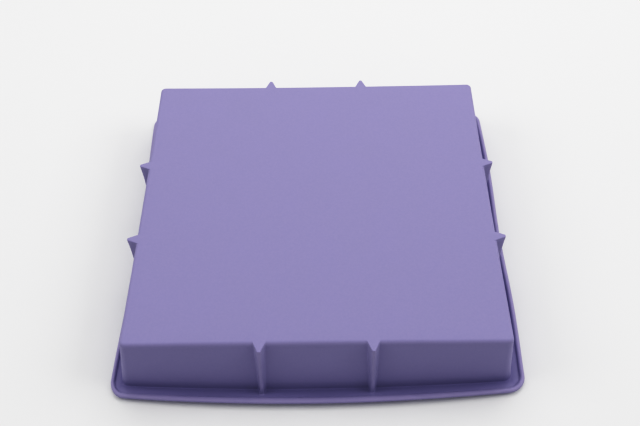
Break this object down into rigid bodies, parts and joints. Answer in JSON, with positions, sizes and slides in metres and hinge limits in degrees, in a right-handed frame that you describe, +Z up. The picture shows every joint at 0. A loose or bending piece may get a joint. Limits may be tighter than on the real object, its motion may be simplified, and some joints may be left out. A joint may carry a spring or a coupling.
{
  "type": "slab soap mould",
  "caption": "Shallow square slab mould of soft silicone for soap, with ribbed side walls and a beaded rim flange, standing upside down on its rim.",
  "frame": {"origin": "under the middle of the mould, on the plane that its rim rests on", "axes": "+Z up, from the rim to the base panel, so the mould stands upside down and its cavity opens towards -Z; X and Y run along its sides. For pouring, turn it half a turn about X, so that the cavity opens upwards."},
  "size_m": [0.2196, 0.2196, 0.035],
  "materials": {
    "silicone": "matte, soft violet silicone"
  },
  "bodies": {
    "root": {"base_panel": "silicone", "wall_front": "silicone", "wall_right": "silicone", "wall_back": "silicone", "wall_left": "silicone", "flange_front": "silicone", "flange_right": "silicone", "flange_back": "silicone", "flange_left": "silicone", "rim_bead_front": "silicone", "rim_bead_right": "silicone", "rim_bead_back": "silicone", "rim_bead_left": "silicone", "rib_front_left": "silicone", "rib_front_right": "silicone", "rib_right_front": "silicone", "rib_right_back": "silicone", "rib_back_right": "silicone", "rib_back_left": "silicone", "rib_left_back": "silicone", "rib_left_front": "silicone"}
  },
  "joints": []
}
